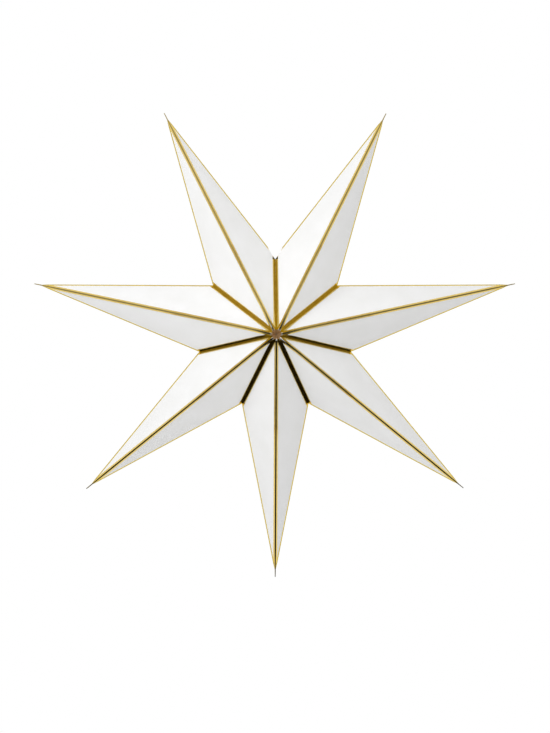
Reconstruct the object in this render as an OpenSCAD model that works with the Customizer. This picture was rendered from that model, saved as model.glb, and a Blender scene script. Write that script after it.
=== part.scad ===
// Seven-pointed hanging star lampshade, folded and glued from fourteen creased card sheets.
// The star hangs in the XZ plane: its front faces -Y, +Z is up, and its axis is the Y axis.
// Each point has a left and a right sheet, named as seen from the front with that point turned up.
// A sheet is creased along the star's outline. It has a fin along its ridge edge, folded double and
// glued to the other sheet of its point, and a flange along its valley edge, glued to the next
// point's sheet.
// The two end sheets meet at the seam at the top, where tape closes the star round the cord.

/* [Star] */
// From the axis to the outer end of each crease
tip_radius = 352; // [300:1:400]
// From the axis to the corner between two glued points
corner_radius = 114; // [95:1:130]
// From the axis to the corner at the seam
seam_radius = 111; // [95:1:130]
// From the front meeting of the ridges to the back one
depth = 185; // [150:1:230]
// How much wider the gap at the seam is than a seventh of a turn, in degrees
seam_spread = 2.2; // [0:0.1:4]
// How much each gap closes up against the one above it as the star hangs, in degrees
sag = 0.58; // [0:0.01:1]

/* [Card] */
// Thickness of the card
card_t = 0.3; // [0.25:0.05:0.5]
// Thickness of a fin, which is folded double, so that the foil runs on over its outer edge
fin_t = 0.9; // [0.6:0.05:1.1]
// How far the glued fins stand out along a ridge
fin_width = 2.5; // [1.5:0.1:4]
// How far the glued fins reach past the end of the creases
spike_length = 5; // [3:0.5:7]
// Width of the glued flanges inside a valley
flange_width = 7; // [4:0.5:10]

/* [Hub] */
// Radius at which the points' inner corners fold in
hub_radius = 7; // [5:0.5:9]
// How far behind the meeting of the ridges the folded tabs come together
hub_depth = 12; // [8:0.5:15]
// Radius left open on the axis between the ends of the tabs
hub_gap = 0.6; // [0.5:0.1:1.2]

/* [Cord opening] */
// Width of the opening across the seam
cord_opening_w = 21; // [12:0.5:26]
// Size of the opening from front to back
cord_opening_d = 6.6; // [5:0.1:10]

/* [Seam tape] */
// Thickness of the double-sided tape between the end flanges
tape_t = 0.2; // [0.1:0.05:0.3]
// How far the tape keeps inside the edges and ends of the flanges
tape_margin = 1.2; // [0.8:0.1:1.6]

/* [Hidden] */
$fn = 64;
points = 7;
half_depth = depth / 2;
seam_gap = 360 / points + seam_spread;
mean_gap = (360 - seam_gap) / (points - 1);
middle_gap = (points - 2) / 2;
mean_step = mean([for (i = [0:points - 2]) abs(i - middle_gap)]);
// Reach of the solids that only trim others
far = tip_radius + 50;
// How much larger than its outline a panel is drawn before it is trimmed at its folds
oversize = 1.25;
// How far a glued strip is drawn past its own plane before it is trimmed there
trim = 1;
// How far inside the fold of the valley the flange starts, in thicknesses of card
flange_seat = 0.2;
// How many times the size of its facet the space in front of the hub is
funnel_reach = 5;
// Left free between the tape and the flange on each side
tape_slack = 0.01;
// The cord opening's cut starts this far below the corner at the seam
cord_cut_reach = 3 * flange_width;

// The sum of a list of numbers or of vectors
function total(v, i = 0) = i < len(v) - 1 ? v[i] + total(v, i + 1) : v[i];
function mean(v) = total(v) / len(v);
function unit(v) = v / norm(v);

// Gap i lies between points i + 1 and i + 2, counted counter-clockwise from the seam
function gap(i) = mean_gap + sag * (abs(i - middle_gap) - mean_step);
function point_angle(n) = n == 1 ? 90 + seam_gap / 2 : point_angle(n - 1) + gap(n - 2);
function at_seam(n, side) = (n == 1 && side == "right") || (n == points && side == "left");
function half_angle(n, side) =
    at_seam(n, side) ? seam_gap / 2 : gap(side == "left" ? n - 1 : n - 2) / 2;
function valley_radius(n, side) = at_seam(n, side) ? seam_radius : corner_radius;

// The corners of a left sheet's front panel, with its point along X and the front towards +Z
function tip() = [tip_radius, 0, 0];
function corner(angle, radius) = [radius * cos(angle), radius * sin(angle), 0];
function hub() = [0, 0, half_depth];
function panel_normal(angle, radius) = unit(cross(corner(angle, radius) - tip(), hub() - tip()));

// A point on the line from the hub to an outer end, at a given distance from the axis
function on_fold(end, radius) = hub() + (end - hub()) * radius / norm([end.x, end.y]);

// A flat card through three corners. Its thickness lies on the side from which the corners run
// counter-clockwise, and it may start behind them.
module card(corners, thickness, start = 0) {
    along = unit(corners[1] - corners[0]);
    out = unit(cross(corners[1] - corners[0], corners[2] - corners[0]));
    across = cross(out, along);
    multmatrix([
        [along.x, across.x, out.x, corners[0].x],
        [along.y, across.y, out.y, corners[0].y],
        [along.z, across.z, out.z, corners[0].z],
        [0, 0, 0, 1]
    ])
    translate([0, 0, start])
    linear_extrude(thickness - start)
    polygon([for (c = corners) [(c - corners[0]) * along, (c - corners[0]) * across]]);
}

// The same corners, moved out from their middle
function grown(corners, factor) = [
    for (c = corners) mean(corners) + (c - mean(corners)) * factor
];

module both_faces() {
    children();
    mirror([0, 0, 1]) children();
}

// The space that one sheet may fill: between its ridge plane and its valley plane
module sheet_space(angle, clearance, low, high) {
    from_axis = clearance / sin(angle);
    translate([from_axis, 0, low])
    linear_extrude(high - low)
    polygon([[0, 0], [far, 0], [far, far * tan(angle)]]);
}

module front_panel(angle, radius) {
    outline = grown([tip(), hub(), corner(angle, radius)], oversize);
    card(outline, card_t);
}

// The corners of one facet of the funnel at the hub: on the valley, on the ridge, on the axis
function facet(angle, radius) = [
    on_fold(corner(angle, radius), hub_radius),
    on_fold(tip(), hub_radius),
    [0, 0, half_depth - hub_depth]
];

// The inner corner of a panel, folded in to make one facet of the funnel
module hub_tab(angle, radius) {
    reach = hub_radius - card_t / 2;
    intersection() {
        card(grown(facet(angle, radius), oversize), card_t, -trim);
        linear_extrude(far)
        polygon([[0, 0], [reach, 0], reach * [cos(angle), sin(angle)]]);
    }
}

// The space in front of one facet, which also bevels the end of the fin
module hub_funnel(angle, radius) {
    f = facet(angle, radius);
    card(grown([f[1], f[0], f[2]], funnel_reach), funnel_reach * hub_radius);
}

// The glued strip that stands out along the ridge, front and back in one piece
module ridge_fin(angle, radius) {
    n = panel_normal(angle, radius);
    slant = norm(tip() - hub()) / tip_radius;
    outer = fin_width * slant;
    // Below the ridge, the depth at which the fin's outer side is in the middle of the card
    seated = (fin_t * n.y + card_t / 2) / n.z;
    slope = half_depth / tip_radius;
    end = tip_radius + spike_length;
    rotate([90, 0, 0])
    translate([0, 0, -fin_t])
    linear_extrude(fin_t + trim)
    polygon([
        [0, half_depth + outer],
        [end, outer - spike_length * slope],
        [end, -outer + spike_length * slope],
        [0, -half_depth - outer],
        [0, -half_depth + seated],
        [tip_radius - seated / slope, 0],
        [0, half_depth - seated]
    ]);
}

// The glued strip behind the valley, front and back in one piece
module valley_flange(angle, radius, clearance) {
    slant = norm([radius, half_depth]);
    // Both edges, measured from the corner and from the hub
    seat = flange_seat * card_t;
    outer = [radius - seat * slant / half_depth, half_depth - seat * slant / radius];
    inner = [
        radius - flange_width * slant / half_depth,
        half_depth - flange_width * slant / radius
    ];
    rotate([0, 0, angle])
    rotate([90, 0, 0])
    translate([0, 0, -trim])
    linear_extrude(trim + clearance + card_t)
    polygon([
        [outer.x, 0], [0, outer.y], [0, inner.y],
        [inner.x, 0], [0, -inner.y], [0, -outer.y]
    ]);
}

// A left sheet, with its point along X and the front towards +Z
module left_sheet(angle, radius, clearance) {
    difference() {
        union() {
            both_faces() intersection() {
                front_panel(angle, radius);
                sheet_space(angle, clearance, 0, far);
            }
            intersection() {
                union() {
                    both_faces() hub_tab(angle, radius);
                    ridge_fin(angle, radius);
                    valley_flange(angle, radius, clearance);
                }
                sheet_space(angle, clearance, -far, far);
            }
        }
        both_faces() hub_funnel(angle, radius);
        cylinder(h = 2 * far, r = hub_gap, center = true);
    }
}

// An oval passage along Z for the cord, open at the corner of the seam
module cord_passage() {
    translate([0, 0, seam_radius - cord_cut_reach])
    linear_extrude(far)
    polygon([
        for (a = [0:360 / $fn:359]) [cord_opening_w / 2 * cos(a), cord_opening_d / 2 * sin(a)]
    ]);
}

// Sheet on one side of point n, in its place in the star
module point_sheet(n, side) {
    clearance = at_seam(n, side) ? tape_t / 2 + tape_slack : 0;
    color("white")
    difference() {
        rotate([90, 0, 0])
        rotate([0, 0, point_angle(n)])
        mirror([0, side == "left" ? 0 : 1, 0])
        left_sheet(half_angle(n, side), valley_radius(n, side), clearance);
        if (at_seam(n, side)) cord_passage();
    }
}

// Tape between the end flanges, along the front valley of the seam. It ends short of the cord
// opening at the top and of the hub at the bottom.
module seam_tape() {
    slant = norm([seam_radius, half_depth]);
    down_valley = [-half_depth, -seam_radius] / slant;
    inward = [seam_radius, -half_depth] / slant;
    outer = tape_margin;
    inner = flange_width - tape_margin;
    start = (cord_opening_d / 2 + tape_margin + inner * inward.x) / -down_valley.x;
    end = (seam_radius - hub_radius - tape_margin + inner * inward.y) / -down_valley.y;
    color("gainsboro")
    rotate([90, 0, 90])
    translate([0, 0, -tape_t / 2])
    linear_extrude(tape_t)
    polygon([
        for (p = [[start, outer], [end, outer], [end, inner], [start, inner]])
            [0, seam_radius] + p.x * down_valley + p.y * inward
    ]);
}

point_sheet(1, "right");  // point_1_right_sheet
point_sheet(1, "left");  // point_1_left_sheet
point_sheet(2, "right");  // point_2_right_sheet
point_sheet(2, "left");  // point_2_left_sheet
point_sheet(3, "right");  // point_3_right_sheet
point_sheet(3, "left");  // point_3_left_sheet
point_sheet(4, "right");  // point_4_right_sheet
point_sheet(4, "left");  // point_4_left_sheet
point_sheet(5, "right");  // point_5_right_sheet
point_sheet(5, "left");  // point_5_left_sheet
point_sheet(6, "right");  // point_6_right_sheet
point_sheet(6, "left");  // point_6_left_sheet
point_sheet(7, "right");  // point_7_right_sheet
point_sheet(7, "left");  // point_7_left_sheet
seam_tape();  // front_seam_tape
mirror([0, 1, 0]) seam_tape();  // back_seam_tape
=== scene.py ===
# %% [markdown]
# # Paper star lampshade
# Seven hollow points of white card, glued into a star, with gold foil along every fold. The star
# hangs in the XZ plane with its front towards -Y, and its axis is the Y axis. Fourteen sheets make
# it, two to a point, and each sheet was cut flat, printed with foil and folded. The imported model
# comes first, because everything below takes its place from it.

import math

import bmesh
import bpy
from mathutils import Matrix, Vector
from mathutils.geometry import intersect_line_plane, intersect_plane_plane


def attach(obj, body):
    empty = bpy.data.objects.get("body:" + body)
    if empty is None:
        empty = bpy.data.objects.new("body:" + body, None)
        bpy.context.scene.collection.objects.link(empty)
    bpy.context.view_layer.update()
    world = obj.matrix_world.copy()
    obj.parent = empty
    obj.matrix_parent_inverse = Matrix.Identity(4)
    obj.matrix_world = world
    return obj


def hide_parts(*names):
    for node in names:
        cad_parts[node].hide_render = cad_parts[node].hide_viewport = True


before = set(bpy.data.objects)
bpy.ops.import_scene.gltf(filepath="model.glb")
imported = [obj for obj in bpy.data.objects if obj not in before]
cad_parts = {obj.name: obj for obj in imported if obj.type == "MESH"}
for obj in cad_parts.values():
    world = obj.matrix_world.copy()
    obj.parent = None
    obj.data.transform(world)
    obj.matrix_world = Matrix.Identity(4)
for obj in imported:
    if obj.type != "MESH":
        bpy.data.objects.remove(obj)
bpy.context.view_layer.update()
MM = 0.001
SHEETS = sorted(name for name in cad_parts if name.endswith("_sheet"))
TAPES = sorted(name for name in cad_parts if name.endswith("_tape"))
print(f"{len(SHEETS)} card sheets and {len(TAPES)} strips of tape in the frame")

# %% [markdown]
# ## What a sheet measures
# The long folds are read from the model. These are the small sizes of a sheet, the same all round
# the star: the card, the fin along the ridge, the strip of card glued inside the valley, the corner
# folded in at the hub, and the widths of the foil, measured on the card. The fin is the card folded
# double, and it is drawn a little thicker than two layers, or its line would be lost in the render.

# %% Sizes of the card and the foil
CARD = 0.3 * MM
FIN_THICKNESS = 1.1 * MM
FIN_WIDTH = 2.5 * MM
FIN_EDGE = 0.1 * MM
SPIKE = 5 * MM  # the fins run on past the tip by this much
FLANGE = 7 * MM
HUB_RADIUS = 7 * MM
HUB_DEPTH = 12 * MM
HUB_HOLE = 0.7 * MM
RIDGE_FOIL = 4.6 * MM
VALLEY_FOIL = 5.1 * MM
CREASE_FOIL = 2.6 * MM
MERGE = 0.002 * MM  # corners closer than this are one corner
print(f"foil: {RIDGE_FOIL / MM} mm from a ridge, {VALLEY_FOIL / MM} mm from a valley")

# %% [markdown]
# ## Where the folds are
# Three flat faces of a sheet's solid give all its long folds: the front panel, the side of the fin
# on the ridge's plane and the side of the flange on the valley's plane. Three planes meet in one
# point, so the tip, the corner and the front meeting of the ridges are each found by crossing
# planes, and no corner is measured by eye.

# %% Find the tip, the corner and the hub of each sheet
FRONT = Vector((0, -1, 0))
TURNED_TO_FRONT = 0.1  # a face's normal has at least this share of FRONT
UPRIGHT = 0.01  # the normal of a face in a ridge's or valley's plane has less than this of it
PARALLEL = 0.99


def fold_corners(mesh):
    """Tip, corner and hub of a sheet: the corners of its front panel, before the card's edges."""
    def reach(face):
        return max(math.hypot(mesh.vertices[i].co.x, mesh.vertices[i].co.z) for i in face.vertices)

    def on_outline(plane):
        start, way = intersect_plane_plane(panel.center, panel.normal, plane.center, plane.normal)
        return intersect_line_plane(start, start + way, Vector(), FRONT)

    facing = [f for f in mesh.polygons if f.center.y < 0 and f.normal.dot(FRONT) > TURNED_TO_FRONT]
    panel = max(facing, key=lambda f: f.area)
    upright = [
        f for f in mesh.polygons
        if abs(f.normal.y) < UPRIGHT and abs(f.normal.dot(f.center)) < CARD / 2
    ]
    farthest = max(reach(f) for f in upright)
    ridge = max((f for f in upright if reach(f) > farthest / 2), key=lambda f: f.area)
    turned = [f for f in upright if abs(f.normal.dot(ridge.normal)) < PARALLEL]
    valley = max(turned, key=lambda f: f.area)
    hub = Vector((0, panel.normal.dot(panel.center) / panel.normal.y, 0))
    return on_outline(ridge), on_outline(valley), hub


folds = {name: fold_corners(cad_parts[name].data) for name in SHEETS}
for name, corners in folds.items():
    print(name, "tip, corner, hub:", *(f"{c.length / MM:.1f}" for c in corners), "mm")

# %% [markdown]
# ## Helpers for nodes, colours and materials
# Every material and every geometry tree below is a list of nodes. The first function adds one,
# sets it up and links or fills its inputs. Shaders work in linear light, so the second turns a
# colour code, as a paint program shows it, to linear.

# %% Helpers


def add(tree, kind, inputs=None, **settings):
    """Adds a node, with its settings, and links or sets its inputs by name or number."""
    node = tree.nodes.new(kind)
    for name, value in settings.items():
        setattr(node, name, value)
    for name, value in (inputs or {}).items():
        if isinstance(value, bpy.types.NodeSocket):
            tree.links.new(value, node.inputs[name])
        else:
            node.inputs[name].default_value = value
    return node


def linear(code):
    """Linear colour of an sRGB hex code."""
    parts = [int(code[i:i + 2], 16) / 255 for i in (1, 3, 5)]
    return [*(p / 12.92 if p <= 0.04045 else ((p + 0.055) / 1.055) ** 2.4 for p in parts), 1]


def material(name):
    """An empty node material, its tree and its output node."""
    made = bpy.data.materials.new(name)
    made.use_nodes = True
    made.node_tree.nodes.clear()
    return made, made.node_tree, add(made.node_tree, "ShaderNodeOutputMaterial")


print(f"middle grey #808080 is {linear('#808080')[0]:.3f} in linear light")

# %% [markdown]
# ## The card's face
# Coated white board, about 240 g/m2, smooth and matt. It isn't quite even: pulp gives it faint
# clouds a few centimetres wide, and the coating leaves a very fine tooth that softens highlights.

# %% Coated white card
CLOUD = 35 * MM
TOOTH = 0.9 * MM  # drawn about three times as coarse as the real tooth, so that it shows at all
RELIEF = 0.05 * MM  # how deep the card's tooth, its fibres and the funnel's mottling are


def coated_card():
    """The printed side of the sheet, where it has no foil."""
    card, tree, out = material("coated_white_card")
    place = add(tree, "ShaderNodeTexCoord").outputs["Object"]
    clouds = add(tree, "ShaderNodeTexNoise", {"Vector": place, "Scale": 1 / CLOUD, "Detail": 3})
    tooth = add(tree, "ShaderNodeTexNoise", {"Vector": place, "Scale": 1 / TOOTH, "Detail": 4})
    tint = add(tree, "ShaderNodeValToRGB", {"Fac": clouds.outputs["Fac"]})
    tint.color_ramp.elements[0].position = 0.3
    tint.color_ramp.elements[0].color = linear("#EFEFEE")
    tint.color_ramp.elements[1].position = 0.7
    tint.color_ramp.elements[1].color = linear("#F3F3F3")
    rough = add(tree, "ShaderNodeMapRange", {
        "Value": tooth.outputs["Fac"], "To Min": 0.55, "To Max": 0.75})
    bump = add(tree, "ShaderNodeBump", {
        "Height": tooth.outputs["Fac"], "Strength": 0.08, "Distance": RELIEF})
    body = add(tree, "ShaderNodeBsdfPrincipled", {
        "Base Color": tint.outputs["Color"], "Roughness": rough.outputs["Result"],
        "Normal": bump.outputs["Normal"], "IOR": 1.5})
    tree.links.new(body.outputs["BSDF"], out.inputs["Surface"])
    return card


card_face = coated_card()
print(f"made {card_face.name}")

# %% [markdown]
# ## The card's back and cut edges
# The inside of the star and every cut edge show the board's uncoated core: rougher, a little warmer
# and with visible fibres.

# %% Uncoated card
FIBRE = 2.5 * MM


def uncoated_card():
    """The side that faces inwards, and every cut edge."""
    card, tree, out = material("uncoated_card")
    place = add(tree, "ShaderNodeTexCoord").outputs["Object"]
    fibres = add(tree, "ShaderNodeTexNoise", {
        "Vector": place, "Scale": 1 / FIBRE, "Detail": 6, "Roughness": 0.7})
    tint = add(tree, "ShaderNodeValToRGB", {"Fac": fibres.outputs["Fac"]})
    tint.color_ramp.elements[0].position = 0.3
    tint.color_ramp.elements[0].color = linear("#E4DED2")
    tint.color_ramp.elements[1].position = 0.7
    tint.color_ramp.elements[1].color = linear("#EEE9DF")
    bump = add(tree, "ShaderNodeBump", {
        "Height": fibres.outputs["Fac"], "Strength": 0.3, "Distance": RELIEF})
    body = add(tree, "ShaderNodeBsdfPrincipled", {
        "Base Color": tint.outputs["Color"], "Normal": bump.outputs["Normal"],
        "Roughness": 0.9, "IOR": 1.5})
    tree.links.new(body.outputs["BSDF"], out.inputs["Surface"])
    return card


card_core = uncoated_card()
print(f"made {card_core.name}")

# %% [markdown]
# ## The gold foil
# Hot-stamped foil, pressed on before the sheet is folded: a film of aluminium under a yellow
# lacquer. It is metal, so it is fully metallic, and it mirrors the room almost clearly, with a
# little of the card's tooth. Pressure varies over a few millimetres, so the foil is smoother in
# some places than in others. At a slant, light goes a longer way through the lacquer, so the
# specular tint, which colours a metal near its rim, is a stronger yellow.

# %% Hot-stamped gold foil
PRESSURE = 6 * MM


def gold_foil():
    """The bands along the folds, and both sides of the fins."""
    foil, tree, out = material("hot_stamped_gold_foil")
    place = add(tree, "ShaderNodeTexCoord").outputs["Object"]
    press = add(tree, "ShaderNodeTexNoise", {"Vector": place, "Scale": 1 / PRESSURE, "Detail": 3})
    tooth = add(tree, "ShaderNodeTexNoise", {"Vector": place, "Scale": 1 / TOOTH, "Detail": 3})
    tint = add(tree, "ShaderNodeValToRGB", {"Fac": press.outputs["Fac"]})
    tint.color_ramp.elements[0].position = 0.3
    tint.color_ramp.elements[0].color = linear("#DDC174")
    tint.color_ramp.elements[1].position = 0.7
    tint.color_ramp.elements[1].color = linear("#E9CF82")
    rough = add(tree, "ShaderNodeMapRange", {
        "Value": press.outputs["Fac"], "To Min": 0.1, "To Max": 0.16})
    bump = add(tree, "ShaderNodeBump", {
        "Height": tooth.outputs["Fac"], "Strength": 0.06, "Distance": RELIEF})
    body = add(tree, "ShaderNodeBsdfPrincipled", {
        "Base Color": tint.outputs["Color"], "Roughness": rough.outputs["Result"],
        "Normal": bump.outputs["Normal"], "Metallic": 1.0,
        "Specular Tint": linear("#FFF25C")})
    tree.links.new(body.outputs["BSDF"], out.inputs["Surface"])
    return foil


foil_face = gold_foil()
print(f"made {foil_face.name}")

# %% [markdown]
# ## Foil at the hub, with painted shade
# Where the corners are folded in at the hub, the funnel's facets are a tan mixture of dull gold and
# bare card. The tan, darker than the card around it, is painted shade for the deep, narrow funnel.
# The mixture is uneven, so the metallic value follows a noise texture.

# %% Foil at the hub, with painted shade
FUNNEL_MOTTLE = 1.5 * MM


def funnel_foil_shaded():
    """The small funnel in the middle of the star."""
    foil, tree, out = material("hub_foil_painted_shade")
    place = add(tree, "ShaderNodeTexCoord").outputs["Object"]
    funnel_mottle = add(tree, "ShaderNodeTexNoise", {"Vector": place, "Scale": 1 / FUNNEL_MOTTLE, "Detail": 5})
    metal_share = add(tree, "ShaderNodeMapRange", {
        "Value": funnel_mottle.outputs["Fac"], "From Min": 0.35, "From Max": 0.65,
        "To Min": 0.5, "To Max": 0.95})
    # The tan colours are painted shade for the deep funnel; the metallic share is the real foil.
    tint = add(tree, "ShaderNodeValToRGB", {"Fac": metal_share.outputs["Result"]})
    tint.color_ramp.elements[0].color = linear("#CDB394")
    tint.color_ramp.elements[1].color = linear("#D6B482")
    bump = add(tree, "ShaderNodeBump", {
        "Height": funnel_mottle.outputs["Fac"], "Strength": 0.2, "Distance": RELIEF})
    body = add(tree, "ShaderNodeBsdfPrincipled", {
        "Base Color": tint.outputs["Color"], "Metallic": metal_share.outputs["Result"],
        "Normal": bump.outputs["Normal"], "Roughness": 0.35})
    tree.links.new(body.outputs["BSDF"], out.inputs["Surface"])
    return foil


rubbed_face = funnel_foil_shaded()
print(f"made {rubbed_face.name}")

# %% [markdown]
# ## The tape
# Two strips of double-sided tape hold the seam at the top. They lie between the end flanges, so
# their solids stay as they are, and only take the finish of a translucent plastic film.

# %% Double-sided tape
SMEAR = 3 * MM


def tape_film():
    """Both strips of tape."""
    film, tree, out = material("double_sided_tape")
    place = add(tree, "ShaderNodeTexCoord").outputs["Object"]
    smears = add(tree, "ShaderNodeTexNoise", {"Vector": place, "Scale": 1 / SMEAR, "Detail": 2})
    tint = add(tree, "ShaderNodeValToRGB", {"Fac": smears.outputs["Fac"]})
    tint.color_ramp.elements[0].color = linear("#D9D5C8")
    tint.color_ramp.elements[1].color = linear("#E9E6DC")
    rough = add(tree, "ShaderNodeMapRange", {
        "Value": smears.outputs["Fac"], "To Min": 0.3, "To Max": 0.5})
    body = add(tree, "ShaderNodeBsdfPrincipled", {
        "Base Color": tint.outputs["Color"], "Roughness": rough.outputs["Result"], "IOR": 1.48})
    tree.links.new(body.outputs["BSDF"], out.inputs["Surface"])
    return film


tape = tape_film()
for name in TAPES:
    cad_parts[name].material_slots[0].material = tape
print(f"{tape.name} on {len(TAPES)} strips")

# %% [markdown]
# ## The printed side of a sheet
# Half a sheet, from the front ridge to the outline, is drawn as one thin skin: the printed side of
# the card. It is made of flat patches between straight lines. The fields between the bands of foil
# stay white, and every band is a patch of its own, so that the foil has a crisp edge in the mesh.
# A point on the panel is given by its shares of the tip, the corner and the hub, because a line at
# a fixed distance from one fold keeps one share constant. Each point also gets a number, "bulge",
# which is 0 on the folds and 1 where the three shares are equal. Later it bows the card. The band
# along the outline has a finish of its own, because its shading is rounded over the crease.

# %% Patches of card
ROWS = 28
COLUMNS = 12
BAND = 1  # a band of foil is one face wide
CROWN = 27  # three equal shares multiply to 1/27
COATED, FOILED, CREASED, SHADED_FUNNEL = range(4)


def patch(skin, corners, rows, columns, outward, finish, bulge=None):
    """A flat patch between four corners. A corner given twice closes it to a triangle."""
    a, b, c, d = corners
    bulges = skin.verts.layers.float["bulge"]
    finishes = skin.faces.layers.int["finish"]
    grid = []
    for i in range(rows + 1):
        start, end = a.lerp(b, i / rows), d.lerp(c, i / rows)
        line = [skin.verts.new(start.lerp(end, j / columns)) for j in range(columns + 1)]
        for point in line:
            point[bulges] = bulge(point.co) if bulge else 0.0
        grid.append(line)
    for low, high in zip(grid, grid[1:]):
        for j in range(columns):
            face = skin.faces.new((low[j], high[j], high[j + 1], low[j + 1]))
            face[finishes] = finish
            face.normal_update()
            if face.normal.dot(outward) < 0:
                face.normal_flip()


def panel_patches(skin, tip, corner, hub):
    """The white field and its bands of foil. Returns the fin fold's two ends and the valley's."""
    def at(tip_share, corner_share):
        return tip * tip_share + corner * corner_share + hub * (1 - tip_share - corner_share)

    def bulge(p):
        at_hub, at_corner = p.z / hub.z, p.y / corner.y
        at_tip = (p.x - at_corner * corner.x) / tip.x
        return max(0.0, CROWN * at_hub * (at_corner - fin) * at_tip)

    outward = (corner - tip).cross(hub - tip)
    area = outward.length
    ridge = RIDGE_FOIL * (hub - tip).length / area
    crease = CREASE_FOIL * (corner - tip).length / area
    valley = VALLEY_FOIL * (corner - hub).length / area
    fin = FIN_THICKNESS / corner.y
    rim_valley = HUB_RADIUS / corner.length
    rim_ridge = HUB_RADIUS / tip.length
    fin_hub, fin_tip = at(rim_ridge * (1 - fin / rim_valley), fin), at(1 - fin, fin)
    rim = at(0, rim_valley)
    near_hub = at(valley, ridge)
    near_tip = at(1 - ridge - crease, ridge)
    near_corner = at(valley, 1 - valley - crease)
    patch(skin, (fin_hub, fin_tip, near_tip, near_hub), ROWS, BAND, outward, FOILED, bulge)
    patch(skin, (corner, fin_tip, near_tip, near_corner), ROWS, BAND, outward, CREASED, bulge)
    patch(skin, (rim, corner, near_corner, near_hub), COLUMNS, BAND, outward, FOILED, bulge)
    patch(skin, (near_hub, near_hub, fin_hub, rim), BAND, BAND, outward, FOILED, bulge)
    patch(skin, (near_hub, near_tip, near_tip, near_corner), ROWS, COLUMNS, outward, COATED, bulge)
    return fin_hub, fin_tip, rim


print(f"a panel has {ROWS} rows and {COLUMNS} columns in its white field")

# %% [markdown]
# ## The fin, the flange and the tab
# The fin is the card's edge, turned outwards along the ridge and folded back on itself, so that the
# foil runs on over its outer edge. That edge is the fine line that is seen along every ridge, and
# where it runs on past the panel it makes the spike at the tip. Towards the tip it gets thinner, as
# if pinched. The flange is turned inwards along the valley and glued to the next sheet. The tab is
# the panel's inner corner, folded in, and fourteen tabs make the small funnel at the middle of the
# star.

# %% Fin, flange and tab
THINNING = 30 * MM  # over this length before the tip
THIN_END = 0.5  # the share of its thickness that the spike's end keeps


def fin_profile(slope):
    """The fin's section as distances from the ridge's plane and out from the ridge."""
    end = SPIKE * slope
    return [
        (FIN_THICKNESS, end), (FIN_THICKNESS, FIN_WIDTH - FIN_EDGE),
        (FIN_THICKNESS - FIN_EDGE, FIN_WIDTH), (0, FIN_WIDTH), (0, end), (0, -FIN_THICKNESS)]


def fin_patches(skin, tip, hub, fin_hub, fin_tip, facet):
    """The fin's outer side, its folded edge and the leaf that is glued to the other sheet."""
    down = (tip - hub).normalized()
    out = Vector((hub.z, 0, tip.x)).normalized()
    end_x = tip.x + SPIKE
    lines = [(fin_hub, fin_tip)]
    for away, height in fin_profile(-down.z):
        start = hub + Vector((0, away, 0)) + out * height
        end = start - down * (start.z / down.z)
        if end.x > end_x:
            end = start + down * ((end_x - start.x) / down.x)
        lines.append((intersect_line_plane(start, start + down, fin_hub, facet), end))
    middle = hub + Vector((0, FIN_THICKNESS / 2, 0)) + out * FIN_WIDTH / 2
    for (a, b), (d, c) in zip(lines, lines[1:]):
        outward = (a + d) / 2 - middle
        outward -= down * outward.dot(down)
        patch(skin, (a, b, c, d), ROWS, BAND, outward, FOILED)
    for point in skin.verts:
        past = (point.co.x - tip.x + THINNING) / (THINNING + SPIKE)
        if past > 0 and point.co.y < FIN_THICKNESS + MERGE:
            point.co.y *= 1 - (1 - THIN_END) * past


def flange_patch(skin, corner, hub, rim, facet):
    """The strip inside the valley."""
    along = corner.normalized()
    length = (corner - hub).length
    inner_corner = along * (corner.length - FLANGE * length / hub.z)
    inner_hub = intersect_line_plane(inner_corner, inner_corner + hub - corner, rim, facet)
    outward = Vector((-along.y, along.x, 0))
    patch(skin, (rim, corner, inner_corner, inner_hub), COLUMNS, BAND, outward, COATED)


def tab_patches(skin, tip, hub, fin_hub, rim, meeting, facet):
    """The facet of the funnel at the hub."""
    ridge = hub + (tip - hub) * (HUB_RADIUS / tip.length)
    hole = HUB_HOLE / HUB_RADIUS
    inner_ridge, inner_rim = meeting.lerp(ridge, hole), meeting.lerp(rim, hole)
    # The funnel's facets take the foil with painted shade.
    patch(skin, (fin_hub, rim, inner_rim, inner_ridge), BAND, BAND, facet, SHADED_FUNNEL)
    patch(skin, (ridge, inner_ridge, inner_ridge, fin_hub), BAND, BAND, facet, SHADED_FUNNEL)


print(f"a fin's section has {len(fin_profile(slope=0))} corners")

# %% [markdown]
# ## Half a sheet, in its place
# A sheet is drawn with its point along X and then turned to its place, so that all fourteen share
# the same code. A right sheet is the mirror image of a left one, and its faces are turned round
# again after the mirroring, or it would be inside out.
#
# Near the hub a dark slot shows beside the ridges, on the lower side. It is taken for a place where
# the glue has let go: of the two sheets that meet at a ridge, the lower one has sagged away from the
# other. The slot is widest at the hub and closes a little way along the ridge.

# %% Draw half a sheet
SEAM_OPENS = 38 * MM  # the slot's length from the axis
SEAM_GAP = 2.8 * MM
SEAM_PRESS = 1.0 * MM
LEVEL = 0.1  # the sheets of the lowest point lie level with each other, so neither sags


def open_seam(point, corner, lower):
    """Parts two sheets near the hub: the lower one sags, the upper one's fin is pressed flat."""
    near = max(0.0, 1 - point.x / SEAM_OPENS)
    free = max(0.0, 1 - point.y * corner.x / (point.x * corner.y))
    if lower:
        point.y += SEAM_GAP * near * free
    else:
        point.y -= SEAM_PRESS * near * free * min(1.0, point.y / FIN_THICKNESS)


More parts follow.
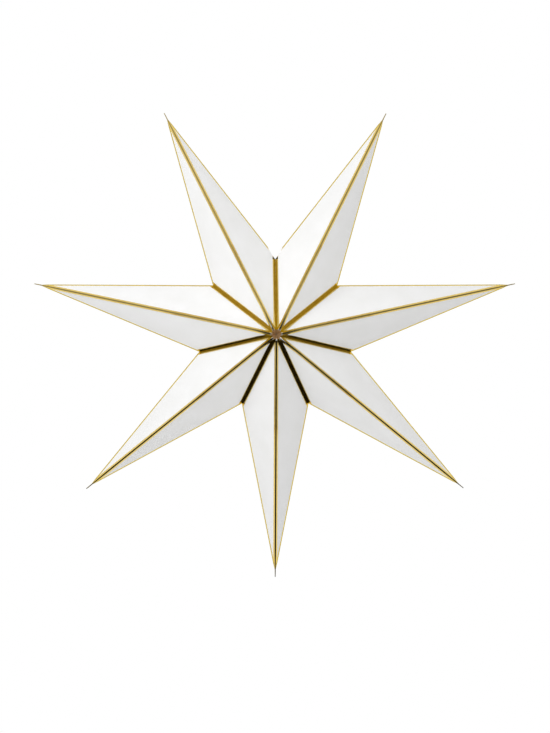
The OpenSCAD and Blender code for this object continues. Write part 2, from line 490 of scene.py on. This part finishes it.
def half_sheet(name):
    """The front half of a sheet's printed side, as a mesh in its place."""
    tip, corner, hub = folds[name]
    along = tip.normalized()
    across = (corner - along * corner.dot(along)).normalized()
    place = Matrix((along, across, FRONT)).transposed()
    tip = Vector((tip.length, 0, 0))
    corner = place.transposed() @ corner
    hub = Vector((0, 0, hub.length))
    meeting = Vector((0, 0, hub.z - HUB_DEPTH))
    skin = bmesh.new()
    skin.verts.layers.float.new("bulge")
    skin.faces.layers.int.new("finish")
    fin_hub, fin_tip, rim = panel_patches(skin, tip, corner, hub)
    facet = (rim - fin_hub).cross(meeting - fin_hub).normalized()
    facet *= math.copysign(1, facet.z)
    fin_patches(skin, tip, hub, fin_hub, fin_tip, facet)
    flange_patch(skin, corner, hub, rim, facet)
    if abs(across.z) > LEVEL:
        for point in [fin_hub, *(v.co for v in skin.verts)]:
            open_seam(point, corner, across.z < 0)
    tab_patches(skin, tip, hub, fin_hub, rim, meeting, facet)
    bmesh.ops.remove_doubles(skin, verts=skin.verts, dist=MERGE)
    bmesh.ops.dissolve_degenerate(skin, edges=skin.edges, dist=MERGE)
    skin.transform(place.to_4x4())
    if place.determinant() < 0:
        bmesh.ops.reverse_faces(skin, faces=skin.faces)
    mesh = bpy.data.meshes.new(name + "_skin")
    skin.to_mesh(mesh)
    skin.free()
    return mesh


halves = {name: half_sheet(name) for name in SHEETS}
print(f"half a sheet has {len(halves[SHEETS[0]].polygons)} faces")

# %% [markdown]
# ## From half a sheet to a folded sheet
# The rest follows a rule, so Geometry Nodes do it. The tree mirrors the half to the back of the
# star and joins the two along the crease. Real card never lies quite flat between glued folds, so
# the tree also bows each panel outwards and adds a slow ripple, both fading to nothing at the
# folds. Last, it gives the faces their finish. The noise takes each sheet's own seed as a fourth
# coordinate, so that no two sheets ripple alike and every run gives the same star.

# %% Geometry tree: join, bow and finish
BOW = 0.9 * MM
RIPPLE = 0.3 * MM
RIPPLE_SIZE = 70 * MM


def folded_sheet_tree():
    """Half a sheet in, a whole sheet out."""
    tree = bpy.data.node_groups.new("folded_sheet", "GeometryNodeTree")
    socket = tree.interface.new_socket
    socket("Half sheet", in_out="INPUT", socket_type="NodeSocketGeometry")
    for name in ("Bow", "Ripple", "Ripple size", "Seed"):
        socket(name, in_out="INPUT", socket_type="NodeSocketFloat")
    socket("Card", in_out="INPUT", socket_type="NodeSocketMaterial")
    socket("Foil", in_out="INPUT", socket_type="NodeSocketMaterial")
    socket("Funnel foil with painted shade", in_out="INPUT", socket_type="NodeSocketMaterial")
    socket("Sheet", in_out="OUTPUT", socket_type="NodeSocketGeometry")
    given = add(tree, "NodeGroupInput").outputs
    back = add(tree, "GeometryNodeTransform", {
        "Geometry": given["Half sheet"], "Scale": (1, -1, 1)})
    turned = add(tree, "GeometryNodeFlipFaces", {"Mesh": back.outputs["Geometry"]})
    both = add(tree, "GeometryNodeJoinGeometry", {"Geometry": given["Half sheet"]})
    tree.links.new(turned.outputs["Mesh"], both.inputs["Geometry"])
    joined = add(tree, "GeometryNodeMergeByDistance", {
        "Geometry": both.outputs["Geometry"], "Distance": MERGE})
    spacing = add(tree, "ShaderNodeMath", {0: 1.0, 1: given["Ripple size"]}, operation="DIVIDE")
    waves = add(tree, "ShaderNodeTexNoise", {
        "W": given["Seed"], "Scale": spacing.outputs[0], "Detail": 1}, noise_dimensions="4D")
    swing = add(tree, "ShaderNodeMath", {0: waves.outputs["Fac"], 1: 0.5}, operation="SUBTRACT")
    height = add(tree, "ShaderNodeMath", {
        0: swing.outputs[0], 1: given["Ripple"], 2: given["Bow"]}, operation="MULTIPLY_ADD")
    bulge = add(tree, "GeometryNodeInputNamedAttribute", {"Name": "bulge"}, data_type="FLOAT")
    lift = add(tree, "ShaderNodeMath", {
        0: height.outputs[0], 1: bulge.outputs["Attribute"]}, operation="MULTIPLY")
    offset = add(tree, "ShaderNodeVectorMath", {
        0: add(tree, "GeometryNodeInputNormal").outputs["Normal"],
        "Scale": lift.outputs[0]}, operation="SCALE")
    bowed = add(tree, "GeometryNodeSetPosition", {
        "Geometry": joined.outputs["Geometry"], "Offset": offset.outputs["Vector"]})
    real = add(tree, "GeometryNodeRealizeInstances", {"Geometry": bowed.outputs["Geometry"]})
    finish = add(tree, "GeometryNodeInputNamedAttribute", {"Name": "finish"}, data_type="INT")
    dressed = real.outputs["Geometry"]
    for kind, name in (
            (COATED, "Card"), (FOILED, "Foil"), (CREASED, "Foil"), (SHADED_FUNNEL, "Funnel foil with painted shade")):
        chosen = add(tree, "FunctionNodeCompare", {
            "A": finish.outputs["Attribute"], "B": kind}, data_type="INT", operation="EQUAL")
        dressed = add(tree, "GeometryNodeSetMaterial", {
            "Geometry": dressed, "Selection": chosen.outputs["Result"],
            "Material": given[name]}).outputs["Geometry"]
    result = add(tree, "NodeGroupOutput")
    tree.links.new(dressed, result.inputs["Sheet"])
    return tree


folded_sheet = folded_sheet_tree()
print(f"{folded_sheet.name} has {len(folded_sheet.nodes)} nodes")

# %% [markdown]
# ## The opening for the cord
# The two end sheets are cut where they meet at the seam, half an oval in each. The cutter is an
# oval bar along Z, and it is thrown away when both sheets have been cut.

# %% Oval cutter
OPENING = (21 * MM, 6.6 * MM)
CUT_REACH = 21 * MM
OVAL_STEPS = 64


def oval_cutter(corner_z):
    """An oval bar, upright, across the corner of the seam."""
    bar = bmesh.new()
    rings = []
    for z in (corner_z - CUT_REACH, corner_z + CUT_REACH):
        turns = [2 * math.pi * i / OVAL_STEPS for i in range(OVAL_STEPS)]
        ring = [
            bar.verts.new((OPENING[0] / 2 * math.cos(a), OPENING[1] / 2 * math.sin(a), z))
            for a in turns
        ]
        bar.faces.new(ring)
        rings.append(ring)
    for i in range(OVAL_STEPS):
        after = (i + 1) % OVAL_STEPS
        bar.faces.new((rings[0][i], rings[0][after], rings[1][after], rings[1][i]))
    bmesh.ops.recalc_face_normals(bar, faces=bar.faces)
    mesh = bpy.data.meshes.new("oval_cutter")
    bar.to_mesh(mesh)
    bar.free()
    cutter = bpy.data.objects.new("oval_cutter", mesh)
    bpy.context.scene.collection.objects.link(cutter)
    return cutter


seam_corner = min(folds.values(), key=lambda f: f[1].length)[1]
cutter = oval_cutter(seam_corner.z)
print(f"the opening is {OPENING[0] / MM:.0f} mm wide, {seam_corner.z / MM:.0f} mm above the axis")

# %% [markdown]
# ## Make the fourteen sheets
# Each half goes through the tree, gets the card's thickness on its inner side and becomes a plain
# mesh. The printed side keeps its place, so a sheet still fits its neighbours. The inner side and
# the cut edges take the uncoated material: their slot is the printed side's plus three, and Blender
# stops at the last slot, which is the uncoated one. The borders between finishes stay sharp, and
# so do the folds, apart from the crease in its own band of foil, which shades as a rounded edge.

# %% Fold all sheets
SHARP = math.radians(32)
CORE_SLOT = 3


def round_creases(mesh):
    """Smooth shading over the crease at the outline, within its own band of foil."""
    finish = mesh.attributes["finish"].data
    around = {}
    for face in mesh.polygons:
        for key in face.edge_keys:
            around.setdefault(key, set()).add(finish[face.index].value)
    for edge in mesh.edges:
        if len(around[edge.key]) > 1:
            edge.use_edge_sharp = True
        elif all(abs(mesh.vertices[i].co.y) < MERGE for i in edge.vertices):
            edge.use_edge_sharp = CREASED not in around[edge.key]


def fold_sheet(name, seed):
    """One finished sheet as an object at the origin."""
    mesh = halves[name]
    for finish in (card_face, foil_face, rubbed_face, card_core):
        mesh.materials.append(finish)
    sheet = bpy.data.objects.new(name.replace("_sheet", "_card"), mesh)
    bpy.context.scene.collection.objects.link(sheet)
    folding = sheet.modifiers.new("folding", "NODES")
    folding.node_group = folded_sheet
    values = {"Bow": BOW, "Ripple": RIPPLE, "Ripple size": RIPPLE_SIZE, "Seed": float(seed),
              "Card": card_face, "Foil": foil_face, "Funnel foil with painted shade": rubbed_face}
    for item in folded_sheet.interface.items_tree:
        if item.name in values:
            folding[item.identifier] = values[item.name]
    wall = sheet.modifiers.new("thickness", "SOLIDIFY")
    wall.thickness = CARD
    wall.offset = -1
    wall.use_even_offset = True
    wall.material_offset = CORE_SLOT
    wall.material_offset_rim = CORE_SLOT
    if abs(folds[name][1].x) < FLANGE:
        opening = sheet.modifiers.new("opening", "BOOLEAN")
        opening.object = cutter
        opening.operation = "DIFFERENCE"
        opening.solver = "EXACT"
    evaluated = sheet.evaluated_get(bpy.context.evaluated_depsgraph_get())
    finished = bpy.data.meshes.new_from_object(evaluated)
    sheet.modifiers.clear()
    sheet.data = finished
    finished.name = sheet.name
    finished.shade_smooth()
    finished.set_sharp_from_angle(angle=SHARP)
    round_creases(finished)
    return sheet


sheets = {name: fold_sheet(name, seed) for seed, name in enumerate(SHEETS)}
bpy.data.objects.remove(cutter)
for name, sheet in sheets.items():
    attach(sheet, "root")
    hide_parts(name)
    sheet.data.calc_loop_triangles()
    print(f"{sheet.name}: {len(sheet.data.loop_triangles)} triangles")

# %% [markdown]
# ## The camera
# A long lens, a little to the left of the star's axis and a little above it, 3.2 m away. It is
# aimed below the star's middle, which puts the star in the upper part of the frame.

# %% Camera
DISTANCE = 3.2
LEFT_OF_AXIS = math.radians(1.1)
ABOVE_AXIS = math.radians(1.3)
FRAME_HEIGHT = 733
MM_PER_PIXEL = 1.4566
AIM = Vector((-0.0003, 0, -0.0491))
lens = bpy.data.cameras.new("camera")
lens.sensor_fit = "VERTICAL"
lens.sensor_height = 36
lens.lens = lens.sensor_height * DISTANCE / (FRAME_HEIGHT * MM_PER_PIXEL * MM)
lens.clip_end = 50
camera = bpy.data.objects.new("camera", lens)
bpy.context.scene.collection.objects.link(camera)
camera.location = (
    -DISTANCE * math.tan(LEFT_OF_AXIS), -DISTANCE, DISTANCE * math.tan(ABOVE_AXIS))
camera.rotation_euler = (AIM - camera.location).to_track_quat("-Z", "Y").to_euler()
bpy.context.scene.camera = camera
print(f"lens {lens.lens:.1f} mm")

# %% [markdown]
# ## Light
# Three round soft lamps light the star: a key at the upper left, which shapes the panels, and a
# weak fill at the front and the back. An even pale sky does the rest, and the camera sees it white.
#
# Foil is a mirror, so it needs something to show. It sees the white wall behind the star, and to
# the front and the sides a room, which is dark below and paler above. This draws the foil's lines:
# pale at the top of the star and nearly black at its bottom. Each part of the room is a smooth step
# along one axis of the direction in which a ray leaves the foil.

# %% World and lamps
SKY_LEVEL = 0.63
# An axis of the ray's direction, where the step starts and ends on it, and the levels there
ROOM_HEIGHT = ("Z", -0.45, 0.4, 0.012, 0.5)
ROOM_DEPTH = ("Y", -0.8, -0.3, 0.75, 1.0)
WALL = ("Y", 0.35, 0.7, 1.0, 0.92)
ROOM_TO_WALL = ("Y", 0.0, 0.2, 0.0, 1.0)
SIDES_DIFFER = 0.5  # in front, the left side is paler than the right by this much
KEY_WATTS = 5.0
KEY_FROM = Vector((-0.69, -1.0, 0.5))
FILL_WATTS = 4.4
FILL_DISTANCE = 1.2
FILL_HEIGHT = 0.3
LAMP_SIZE = 0.7


def studio_world():
    """White for the camera, a pale sky for the card and a room for the foil."""
    world = bpy.data.worlds.new("studio")
    world.use_nodes = True
    tree = world.node_tree
    tree.nodes.clear()
    way = add(tree, "ShaderNodeTexCoord").outputs["Generated"]
    parts = add(tree, "ShaderNodeSeparateXYZ", {"Vector": way}).outputs
    height, depth, wall, behind = (
        add(tree, "ShaderNodeMapRange", {
            "Value": parts[axis], "From Min": start, "From Max": end, "To Min": low,
            "To Max": high}, interpolation_type="SMOOTHSTEP").outputs["Result"]
        for axis, start, end, low, high in (ROOM_HEIGHT, ROOM_DEPTH, WALL, ROOM_TO_WALL))
    turn = add(tree, "ShaderNodeMath", {0: parts["X"], 1: parts["Y"]}, operation="MULTIPLY")
    side = add(tree, "ShaderNodeMath", {
        0: turn.outputs[0], 1: SIDES_DIFFER, 2: 1.0}, operation="MULTIPLY_ADD")
    shaded = add(tree, "ShaderNodeMath", {0: height, 1: side.outputs[0]}, operation="MULTIPLY")
    room = add(tree, "ShaderNodeMath", {0: shaded.outputs[0], 1: depth}, operation="MULTIPLY")
    mirrored = add(tree, "ShaderNodeMix", {
        "Factor": behind, "A": room.outputs[0], "B": wall}, data_type="FLOAT")
    ray = add(tree, "ShaderNodeLightPath").outputs
    seen = add(tree, "ShaderNodeMath", {
        0: ray["Is Camera Ray"], 1: ray["Is Transmission Ray"]}, operation="MAXIMUM")
    plain = add(tree, "ShaderNodeMix", {
        "Factor": seen.outputs[0], "A": SKY_LEVEL, "B": 1.0}, data_type="FLOAT")
    level = add(tree, "ShaderNodeMix", {
        "Factor": ray["Is Glossy Ray"], "A": plain.outputs["Result"],
        "B": mirrored.outputs["Result"]}, data_type="FLOAT").outputs["Result"]
    sky = add(tree, "ShaderNodeBackground", {"Color": (1, 1, 1, 1), "Strength": level})
    out = add(tree, "ShaderNodeOutputWorld")
    tree.links.new(sky.outputs["Background"], out.inputs["Surface"])
    return world


def soft_lamp(name, place, watts):
    """A round lamp aimed at the star. Neither the camera nor the foil sees it."""
    light = bpy.data.lights.new(name, "AREA")
    light.shape = "DISK"
    light.size = LAMP_SIZE
    light.energy = watts
    lamp = bpy.data.objects.new(name, light)
    lamp.location = place
    lamp.rotation_euler = place.to_track_quat("Z", "Y").to_euler()
    lamp.visible_camera = False
    lamp.visible_glossy = False
    bpy.context.scene.collection.objects.link(lamp)


bpy.context.scene.world = studio_world()
soft_lamp("key", KEY_FROM, KEY_WATTS)
soft_lamp("front_fill", Vector((0, -FILL_DISTANCE, FILL_HEIGHT)), FILL_WATTS)
soft_lamp("back_fill", Vector((0, FILL_DISTANCE, FILL_HEIGHT)), FILL_WATTS)
print(f"sky {SKY_LEVEL}, key {KEY_WATTS} W, fills {FILL_WATTS} W")

# %% [markdown]
# ## The floor
# A plain pale floor, well below the star. It is round, it fades to white towards its rim, and from
# the front it lies below the frame. It takes the star's faint shadow in views from above.

# %% Floor
FLOOR_HEIGHT = -0.9
FLOOR_RADIUS = 1.4
FADE_FROM = 0.7
FADE_TO = 1.35
FLOOR_CLOUD = 0.5
FLOOR_STEPS = 96


def pale_floor():
    """A round floor of pale paint, white at its rim to the camera."""
    paint, tree, out = material("pale_floor")
    place = add(tree, "ShaderNodeTexCoord").outputs["Object"]
    clouds = add(tree, "ShaderNodeTexNoise", {"Vector": place, "Scale": 1 / FLOOR_CLOUD})
    tint = add(tree, "ShaderNodeValToRGB", {"Fac": clouds.outputs["Fac"]})
    tint.color_ramp.elements[0].color = linear("#EDEDED")
    tint.color_ramp.elements[1].color = linear("#F4F4F4")
    body = add(tree, "ShaderNodeBsdfPrincipled", {
        "Base Color": tint.outputs["Color"], "Roughness": 0.8})
    white = add(tree, "ShaderNodeEmission", {"Color": (1, 1, 1, 1), "Strength": 1.0})
    away = add(tree, "ShaderNodeVectorMath", {0: place}, operation="LENGTH")
    fade = add(tree, "ShaderNodeMapRange", {
        "Value": away.outputs["Value"], "From Min": FADE_FROM, "From Max": FADE_TO},
        interpolation_type="SMOOTHSTEP")
    seen = add(tree, "ShaderNodeMath", {
        0: fade.outputs["Result"], 1: add(tree, "ShaderNodeLightPath").outputs["Is Camera Ray"]},
        operation="MULTIPLY")
    mixed = add(tree, "ShaderNodeMixShader", {
        0: seen.outputs[0], 1: body.outputs["BSDF"], 2: white.outputs["Emission"]})
    tree.links.new(mixed.outputs["Shader"], out.inputs["Surface"])
    disc = bmesh.new()
    bmesh.ops.create_circle(disc, cap_ends=True, segments=FLOOR_STEPS, radius=FLOOR_RADIUS)
    mesh = bpy.data.meshes.new("floor")
    disc.to_mesh(mesh)
    disc.free()
    mesh.materials.append(paint)
    floor = bpy.data.objects.new("floor", mesh)
    floor.location.z = FLOOR_HEIGHT
    bpy.context.scene.collection.objects.link(floor)
    floor.visible_glossy = False
    return floor


pale_floor()
bpy.context.scene.view_settings.view_transform = "Standard"
print(f"floor {2 * FLOOR_RADIUS} m across, {-FLOOR_HEIGHT} m below the axis")
